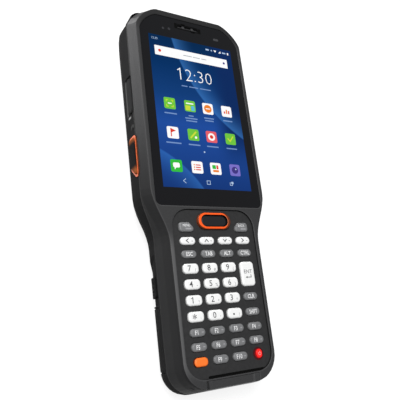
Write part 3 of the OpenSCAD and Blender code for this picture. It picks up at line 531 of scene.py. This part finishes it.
def words(text, x, y, height, narrow=1.0, weight=0.0):
    """Lettering about (x, y) with figures of that height. A small mark is centred on itself."""
    curve = bpy.data.curves.new("words", "FONT")
    curve.body = text
    curve.resolution_u = 2
    curve.offset = weight
    carrier = bpy.data.objects.new("words", curve)
    scene.collection.objects.link(carrier)
    bpy.context.view_layer.update()
    drawn = bpy.data.meshes.new_from_object(carrier.evaluated_get(bpy.context.evaluated_depsgraph_get()))
    xs = [v.co.x for v in drawn.vertices]
    ys = [v.co.y for v in drawn.vertices]
    scale = height / FIGURE
    middle = (min(xs) + max(xs)) / 2
    centre = FIGURE / 2 if max(ys) - min(ys) > SMALL_MARK else (min(ys) + max(ys)) / 2
    points = [(x + (v.co.x - middle) * scale * narrow, y + (v.co.y - centre) * scale) for v in drawn.vertices]
    faces = [[points[i] for i in face.vertices] for face in drawn.polygons]
    bpy.data.objects.remove(carrier)
    bpy.data.curves.remove(curve)
    bpy.data.meshes.remove(drawn)
    return faces


# The heights of print above the face it lies on, from the lowest layer to the highest.
GROUND, FIRST, SECOND, THIRD = 0.01, 0.02, 0.03, 0.04


class Print:
    """Thin artwork laid on a face that is at height z: outlines, each with its material and layer."""

    def __init__(self, name, body, z):
        self.name, self.body, self.z = name, body, z
        self.points, self.faces, self.shades, self.used = [], [], [], []

    def lay(self, outlines, material, layer=FIRST):
        if material not in self.used:
            self.used.append(material)
        for outline in outlines:
            first = len(self.points)
            self.points += [(px * MM, py * MM, (self.z + layer) * MM) for px, py in outline]
            self.faces.append(list(range(first, first + len(outline))))
            self.shades.append(self.used.index(material))

    def finish(self):
        """Makes the piece, and lets it ride on its body."""
        mesh = bpy.data.meshes.new(self.name)
        mesh.from_pydata(self.points, [], self.faces)
        for material in self.used:
            mesh.materials.append(material)
        for face, shade in zip(mesh.polygons, self.shades):
            face.material_index = shade
        piece = bpy.data.objects.new(self.name, mesh)
        scene.collection.objects.link(piece)
        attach(piece, self.body)
        return piece


# ---- The lit display ----

GLASS_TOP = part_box("cover_glass")[1].z / MM
SCREEN_HALF_WIDTH = 26.2
SCREEN_LOW, SCREEN_HIGH = -5.7, 81.5


def wallpaper_material():
    """A blue sky, darker at the top and at the right edge, with two soft waves."""
    material, tree, light = screen_material("wallpaper", (0.001, 0.001, 0.001), 0.05)
    split = tree.add("ShaderNodeSeparateXYZ", Vector=tree.add("ShaderNodeTexCoord").outputs["Object"])
    x, y = split.outputs["X"], split.outputs["Y"]
    tall = SCREEN_HIGH - SCREEN_LOW
    height = tree.math("MULTIPLY_ADD", y, 1 / (tall * MM), -SCREEN_LOW / tall)
    sky = tree.ramp(height, [
        (0.0, srgb(20, 55, 120)), (0.4, srgb(30, 75, 155)), (0.6, srgb(15, 60, 120)),
        (0.8, srgb(2, 48, 100)), (1.0, srgb(1, 40, 80))])
    right_edge = tree.math("MULTIPLY", smooth(tree, x, 6 * MM, 20 * MM), smooth(tree, height, 0.1, 0.4))
    sky = tree.mix(right_edge, sky, srgb(10, 42, 95))

    def wave(centre_x, centre_y, radius, soft, edge=0.8):
        """Light inside a circle: it starts within edge of the rim and fades over soft."""
        from_x = tree.math("SUBTRACT", x, centre_x * MM)
        from_y = tree.math("SUBTRACT", y, centre_y * MM)
        depth = tree.math("SUBTRACT", radius * MM, tree.far(from_x, from_y))
        faded = tree.clamped(tree.math("MULTIPLY", depth, 1 / (soft * MM)))
        left = tree.math("POWER", tree.math("SUBTRACT", 1.0, faded), 2.0)
        return tree.math("MULTIPLY", left, tree.clamped(tree.math("MULTIPLY", depth, 1 / (edge * MM))))

    sky = tree.mix(tree.math("MULTIPLY", wave(70, 96, 84, 14), 0.45), sky, srgb(70, 140, 220))
    sky = tree.mix(tree.math("MULTIPLY", wave(-50, -36, 56, 16), 0.4), sky, srgb(60, 130, 215))
    tree.feed(light, sky)
    return material


WHITE = lit("screen_white", srgb(255, 255, 255), spread=0.03)
CAPTION = lit("screen_caption", srgb(118, 150, 200))
PALE = lit("screen_pale", srgb(176, 200, 228))
FAINT = lit("screen_faint", srgb(150, 158, 166))
GREEN = lit("screen_green", srgb(112, 200, 60))
LEAF = lit("screen_leaf", srgb(50, 190, 60))
LIME = lit("screen_lime", srgb(206, 222, 60))
ORANGE = lit("screen_orange", srgb(240, 132, 40))
RED = lit("screen_red", srgb(222, 60, 44))
PINK = lit("screen_pink", srgb(232, 96, 104))
AQUA = lit("screen_aqua", srgb(90, 190, 226))
PURPLE = lit("screen_purple", srgb(122, 112, 200))
PLUM = lit("screen_plum", srgb(64, 52, 130))

# Where the parts of the picture stand: the columns and rows of the pictograms, and the heights of the other rows.
COLUMNS = (-17.8, -5.8, 5.3, 17.4)
ICON_ROWS = (40.7, 24.0, 5.8)
UPPER_CAPTIONS = (34.9, 33.4, 31.9)
MIDDLE_CAPTIONS = 18.3
STATUS_ROW, SEARCH_ROW, CLOCK_ROW, DATE_ROW = 79.0, 71.9, 59.7, 52.5
PAGE_DOT_ROW, BUTTON_ROW = 14.75, -2.0
ICON = 6.6
ICON_ROUND = 0.9


def tile(art, x, y, colour):
    art.lay(rounded(x, y, ICON, ICON, ICON_ROUND), colour)


# Plain pictograms for the twelve places: none stands for a real program.


def draw_first_row(art, y):
    """A scan frame, a page, a stop sign and a bar chart."""
    x = COLUMNS[0]
    tile(art, x, y, GREEN)
    for sx in (-1, 1):
        for sy in (-1, 1):
            corner = [(x + sx * 1.0, y + sy * 1.9), (x + sx * 1.9, y + sy * 1.9), (x + sx * 1.9, y + sy * 1.0)]
            art.lay(stroke(corner, 0.45), LIME, SECOND)
    art.lay(rounded(x, y, 2.2, 0.6), WHITE, SECOND)
    x = COLUMNS[1]
    tile(art, x, y, GREEN)
    art.lay(rounded(x - 1.3, y - 1.2, 3.0, 2.8, 0.4), LIME, SECOND)
    art.lay(rounded(x + 1.6, y - 1.2, 2.0, 2.8, 0.4), AQUA, SECOND)
    art.lay(rounded(x, y + 1.5, 4.6, 0.7, 0.3), WHITE, SECOND)
    x = COLUMNS[2]
    tile(art, x, y, WHITE)
    art.lay(disc(x, y, 2.4), ORANGE, SECOND)
    art.lay(rounded(x, y, 2.6, 0.6), WHITE, THIRD)
    x = COLUMNS[3]
    tile(art, x, y, WHITE)
    for step, (tall, colour) in enumerate(((1.4, RED), (2.6, ORANGE), (2.0, RED))):
        art.lay(rounded(x - 1.4 + 1.4 * step, y - 1.4 + tall / 2, 0.9, tall), colour, SECOND)


def draw_second_row(art, y):
    """A flag, a slash with a spot, a disc and a tick."""
    x = COLUMNS[0]
    tile(art, x, y, WHITE)
    art.lay(stroke([(x - 1.0, y - 2.0), (x - 1.0, y + 2.1)], 0.6), RED, SECOND)
    art.lay([[(x - 0.7, y + 2.3), (x + 1.9, y + 1.2), (x - 0.7, y + 0.1)]], RED, SECOND)
    x = COLUMNS[1]
    tile(art, x, y, GREEN)
    art.lay(stroke([(x - 1.5, y - 1.6), (x + 1.5, y + 1.6)], 0.9), LIME, SECOND)
    art.lay(disc(x + 1.4, y - 1.4, 0.7), WHITE, SECOND)
    x = COLUMNS[2]
    tile(art, x, y, PINK)
    art.lay(disc(x, y, 2.2), WHITE, SECOND)
    art.lay(disc(x, y, 1.1), RED, THIRD)
    x = COLUMNS[3]
    tile(art, x, y, GREEN)
    art.lay(stroke([(x - 1.6, y + 0.1), (x - 0.4, y - 1.3), (x + 1.7, y + 1.5)], 0.7), LIME, SECOND)


def draw_third_row(art, y):
    """A speech bubble, a list, three blocks and a lens."""
    x = COLUMNS[0]
    tile(art, x, y, LEAF)
    art.lay(rounded(x, y + 0.4, 3.8, 2.6, 0.8), WHITE, SECOND)
    art.lay([[(x - 1.2, y - 0.6), (x - 1.2, y - 2.1), (x + 0.2, y - 0.6)]], WHITE, SECOND)
    x = COLUMNS[1]
    tile(art, x, y, WHITE)
    for line in (-1, 0, 1):
        art.lay(disc(x - 1.7, y + 1.3 * line, 0.42, 10), ORANGE, SECOND)
        art.lay(rounded(x + 0.6, y + 1.3 * line, 3.0, 0.6, 0.2), RED, SECOND)
    x = COLUMNS[2]
    tile(art, x, y, WHITE)
    art.lay(rounded(x - 0.9, y + 0.9, 2.2, 2.2, 0.3), LEAF, SECOND)
    art.lay(rounded(x + 1.1, y + 0.9, 1.2, 2.2, 0.3), RED, SECOND)
    art.lay(rounded(x, y - 1.3, 3.6, 1.2, 0.3), ORANGE, SECOND)
    x = COLUMNS[3]
    tile(art, x, y, PURPLE)
    art.lay(disc(x, y, 2.0), PLUM, SECOND)
    art.lay(disc(x + 0.6, y + 0.6, 0.5, 10), PALE, THIRD)


def text_bars(art, y, places, height=0.7, radius=0.2, colour=CAPTION, layer=FIRST):
    """A line of text as bars; places are (x, width)."""
    for x, width in places:
        art.lay(rounded(x, y, width, height, radius), colour, layer)


def draw_captions(art):
    """Up to three lines below the first pictograms and one below the second."""
    first, second, third = UPPER_CAPTIONS
    text_bars(art, first, zip(COLUMNS, (7.2, 3.0, 6.2, 6.0)))
    text_bars(art, second, zip(COLUMNS[1:3], (7.4, 5.4)))
    text_bars(art, third, [(COLUMNS[1], 6.6)])
    text_bars(art, MIDDLE_CAPTIONS, zip(COLUMNS, (8.6, 7.0, 7.2, 6.8)))


def draw_search_bar(art, y):
    """A white field with a mark at each end and its text."""
    art.lay(rounded(-0.3, y, 46.0, 5.8, 0.3), WHITE)
    art.lay(disc(-20.4, y, 0.9, 14), RED, SECOND)
    text_bars(art, y, ((-3.4, 5.4), (2.2, 4.4), (7.0, 3.4)), 0.45, 0.0, FAINT, SECOND)
    art.lay(disc(20.4, y + 0.2, 0.75, 12), PLUM, SECOND)


def draw_clock(art, y):
    """The time, with a short stroke above its first figures."""
    art.lay(words("12:30", 0.4, y, 7.4, 0.96, -0.02), WHITE)
    art.lay(stroke([(-10.8, y + 2.2), (-9.2, y + 3.4)], 0.5), WHITE)


def draw_status(art, y):
    """The time at the left, and signal, wireless and battery marks at the right."""
    art.lay(words("12:30", -22.7, y + 0.2, 1.35, 0.9), PALE)
    art.lay(rounded(10.2, y, 2.2, 1.0, 0.2), PALE)
    art.lay(disc(13.0, y, 0.5, 10), PALE)
    art.lay([[(15.4, y - 0.8), (16.4, y + 0.6), (14.4, y + 0.6)]], WHITE)
    art.lay([[(17.6, y - 0.7), (19.2, y - 0.7), (19.2, y + 0.8)]], WHITE)
    art.lay(rounded(21.4, y, 2.4, 0.9, 0.1), PALE)
    art.lay(rounded(24.1, y, 0.9, 1.5, 0.15), WHITE)


def outline_square(art, x, y, side):
    half = side / 2
    corners = [(x + sx * half, y + sy * half) for sx, sy in ((-1, -1), (1, -1), (1, 1), (-1, 1), (-1, -1))]
    art.lay(stroke(corners, 0.32), PALE)


def draw_buttons(art, y):
    """Signs for back, home and recent, in one line."""
    art.lay(stroke([(-13.4, y + 1.1), (-14.8, y), (-13.4, y - 1.1)], 0.35), PALE)
    outline_square(art, -0.1, y - 0.2, 1.9)
    outline_square(art, 13.8, y - 0.3, 1.4)
    art.lay(rounded(14.6, y + 0.4, 1.3, 1.3, 0.2), PALE)


def draw_screen():
    back = Print("display_wallpaper", "housing", GLASS_TOP)
    back.lay(rounded(0, (SCREEN_LOW + SCREEN_HIGH) / 2, SCREEN_HALF_WIDTH * 2, SCREEN_HIGH - SCREEN_LOW),
             wallpaper_material(), GROUND)
    back.finish()

    art = Print("display_picture", "housing", GLASS_TOP)
    draw_search_bar(art, SEARCH_ROW)
    draw_clock(art, CLOCK_ROW)
    text_bars(art, DATE_ROW, ((-7.6, 3.6), (-2.0, 5.6), (5.4, 7.0)), 0.6)
    draw_status(art, STATUS_ROW)
    for draw_row, y in zip((draw_first_row, draw_second_row, draw_third_row), ICON_ROWS):
        draw_row(art, y)
    draw_captions(art)
    art.lay(disc(-0.3, PAGE_DOT_ROW, 0.5, 10), PALE)
    draw_buttons(art, BUTTON_ROW)
    art.finish()


draw_screen()

# ---- Key legends ----

DARK_INK = ink("dark_ink", (0.08, 0.08, 0.084))
PALE_INK = ink("pale_ink", (0.3, 0.3, 0.31))
WHITE_INK = ink("white_ink", (0.8, 0.8, 0.8))
SOFT_INK = ink("soft_ink", (0.3, 0.3, 0.31))
GLOWING_INK = moulded("glowing_ink", (0.9, 0.3, 0.28), 0.4, grain=0.04, bump=0.0, glow=0.2)
HALO_RED = moulded("halo_red", (0.05, 0.006, 0.008), 0.6, bump=0.0, specular=0.2)

# Each number key has its figure and a small second mark.
NUMBER_LEGENDS = {
    "key_7": ("7", "/"), "key_8": ("8", "#"), "key_9": ("9", "("),
    "key_4": ("4", "-"), "key_5": ("5", "%"), "key_6": ("6", ")"),
    "key_1": ("1", "!"), "key_2": ("2", "+"), "key_3": ("3", "="),
    "key_star": ("*", ":"), "key_0": ("0", ","), "key_dot": (".", "?"),
}
GREY_LEGENDS = {
    "key_esc": "ESC", "key_tab": "TAB", "key_alt": "ALT", "key_ctrl": "CTRL",
    "key_clear": "CLR", "key_shift": "SHIFT",
    "key_f1": "F1", "key_f2": "F2", "key_f3": "F3", "key_f4": "F4", "key_f5": "F5", "key_f6": "F6",
    "key_f7": "F7", "key_f8": "F8", "key_f9": "F9", "key_f10": "F10",
}
ARROW_TURNS = {"key_right": 0, "key_up": 90, "key_left": 180, "key_down": 270}
SOFT_LEGENDS = {"key_soft_left": "MENU", "key_soft_right": "BACK"}

FIGURE_HEIGHT = 2.8
STAR_HEIGHT = 3.7  # a star fills less of its line than a figure
MARK_HEIGHT = 1.5
GREY_HEIGHT = 1.95
NARROW, NARROWEST = 0.8, 0.66  # the width of a grey key's letters: up to four, and five
PANEL_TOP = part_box("keypad_panel")[1].z / MM


def key_print(node):
    """A print on a key's top, and the key's middle."""
    low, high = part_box(node)
    middle = (low + high) / 2 / MM
    return Print(node + "_legend", node, high.z / MM), middle.x, middle.y


def print_number(node, figure, mark):
    art, x, y = key_print(node)
    if figure == ".":
        art.lay(disc(x - 1.0, y - 0.4, 0.5, 12), DARK_INK)
    else:
        height = STAR_HEIGHT if figure == "*" else FIGURE_HEIGHT
        art.lay(words(figure, x - 1.1, y + 0.1, height, 0.95, 0.008), DARK_INK)
    if figure == "1":
        art.lay(stroke([(x - 1.8, y + 0.9), (x - 1.1, y + 1.4)], 0.35), DARK_INK)
    art.lay(words(mark, x + 2.1, y - 0.7, MARK_HEIGHT, 0.95, 0.01), PALE_INK)
    art.finish()


def print_grey(node, text):
    art, x, y = key_print(node)
    function_key = text.startswith("F")
    narrow = NARROW if len(text) < 5 else NARROWEST
    art.lay(words(text, x - (0.9 if function_key else 0.1), y, GREY_HEIGHT, narrow, 0.012), WHITE_INK)
    if function_key:
        art.lay(rounded(x + 2.2, y, 1.0, 0.5), SOFT_INK)
    art.finish()


def print_arrow(node, turn):
    art, x, y = key_print(node)
    cos, sin = math.cos(math.radians(turn)), math.sin(math.radians(turn))
    chevron = [(-0.55, 0.9), (0.55, 0), (-0.55, -0.9)]
    turned = [(x - 0.6 + px * cos - py * sin, y + px * sin + py * cos) for px, py in chevron]
    art.lay(stroke(turned, 0.45), DARK_INK)
    art.lay(rounded(x + 2.0, y - 0.2, 0.8, 0.4), PALE_INK)
    art.finish()


def print_soft(node, text):
    art, x, y = key_print(node)
    art.lay(words(text, x, y + 0.7, 1.3, 0.8), WHITE_INK)
    art.lay(rounded(x + 0.9, y - 1.0, 3.2, 0.8, 0.3), SOFT_INK)
    art.finish()


def print_enter():
    art, x, y = key_print("key_enter")
    art.lay(words("ENT", x, y + 1.1, 1.9, 0.95), DARK_INK)
    art.lay(stroke([(x + 1.5, y - 0.6), (x + 1.5, y - 1.8), (x - 0.9, y - 1.8)], 0.36), DARK_INK)
    art.lay([[(x - 1.8, y - 1.8), (x - 0.8, y - 1.15), (x - 0.8, y - 2.45)]], DARK_INK)
    art.finish()


def print_power():
    """The power sign, and the key's red glow on the panel round it."""
    art, x, y = key_print("key_power")
    art.lay(arc(x, y, 0.7, 125, 415, 0.24), GLOWING_INK)
    art.lay(rounded(x, y + 0.65, 0.24, 0.8), GLOWING_INK)
    art.finish()
    halo = Print("power_halo", "housing", PANEL_TOP)
    halo.lay(ring(x, y, 2.55, 1.1, 28), HALO_RED, GROUND)
    halo.finish()


for key, (number, second) in NUMBER_LEGENDS.items():
    print_number(key, number, second)
for key, legend in GREY_LEGENDS.items():
    print_grey(key, legend)
for key, degrees in ARROW_TURNS.items():
    print_arrow(key, degrees)
for key, legend in SOFT_LEGENDS.items():
    print_soft(key, legend)
print_enter()
print_power()

# ---- Small things on the panel, the glass and the back ----

# Matt black for the painted shadow below the panel and for the dark print round the earpiece.
SHADOW_AND_PRINT_BLACK = moulded("shadow_and_print_black", (0.003, 0.003, 0.003), 0.8, bump=0.0, specular=0.05)
SENSOR = moulded("sensor_window", (0.03, 0.03, 0.034), 0.2, bump=0.0)
LENS = moulded("lens_mark", (0.045, 0.045, 0.048), 0.3, bump=0.0)
BEZEL = moulded("bezel", (0.2, 0.2, 0.21), 0.3, bump=0.0)
IRIS = moulded("iris", (0.004, 0.006, 0.02), 0.1, bump=0.0)
LAMP_GEL = moulded("lamp_gel", (0.75, 0.68, 0.4), 0.3, bump=0.0)

EAR_X, EAR_Y = -1.2, 90.2
# Dark print round the earpiece's slot: x and y from its middle, width and height.
EAR_PRINT = (
    (-7.5, 0.2, 1.8, 3.4), (7.5, -0.2, 1.8, 3.2), (0, 1.35, 13.0, 0.7),
    (0, -1.35, 13.0, 0.7), (-2.9, 1.9, 2.6, 0.9), (3.1, -1.9, 2.6, 0.9))


def mark_panel():
    """A painted shadow in the gap between the panel's lower end and the connector cover."""
    gap = Print("panel_gap_painted_shadow", "housing", PANEL_TOP)
    gap.lay(rounded(4.2, KEYPAD_END + 0.6, 34.0, 1.1, 0.5), SHADOW_AND_PRINT_BLACK, GROUND)
    gap.finish()


def mark_glass():
    """Two sensors, the front camera and the earpiece."""
    marks = Print("front_sensors", "housing", GLASS_TOP)
    for x, y, radius in ((-16.9, 86.9, 0.7), (-13.2, 87.2, 0.8)):
        marks.lay(disc(x, y, radius), SENSOR, GROUND)
    marks.lay(rounded(17.0, 87.0, 3.6, 1.5, 0.75), LENS, GROUND)
    for x, y, width, height in EAR_PRINT:
        marks.lay(rounded(EAR_X + x, EAR_Y + y, width, height, 0.3), SHADOW_AND_PRINT_BLACK, GROUND)
    marks.finish()


def middle_of(points):
    xs, ys = [point.x for point in points], [point.y for point in points]
    return (min(xs) + max(xs)) / 2, (min(ys) + max(ys)) / 2


LENS_ACROSS = 9  # the lamp is further than this from the lens's outer side


def mark_back():
    """The rear camera's bezel and iris and the lamp beside it, on the lowest rims of their node."""
    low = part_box("camera_modules")[0].z / MM
    corners = [corner.co / MM for corner in nodes["camera_modules"].data.vertices]
    rim = [corner for corner in corners if corner.z < low + 0.05]
    lens_side = max(corner.x for corner in rim) - LENS_ACROSS
    lens_x, lens_y = middle_of([corner for corner in rim if corner.x > lens_side])
    lamp_x, lamp_y = middle_of([corner for corner in rim if corner.x <= lens_side])
    marks = Print("rear_camera_marks", "housing", low)
    marks.lay(ring(lens_x, lens_y, 3.6, 0.8, 32), BEZEL, -GROUND)
    marks.lay(ring(lens_x, lens_y, 2.2, 0.25, 28), BEZEL, -GROUND)
    marks.lay(disc(lens_x, lens_y, 1.3), IRIS, -GROUND)
    marks.lay(disc(lamp_x, lamp_y, 1.0), LAMP_GEL, -GROUND)
    marks.finish()


mark_panel()
mark_glass()
mark_back()
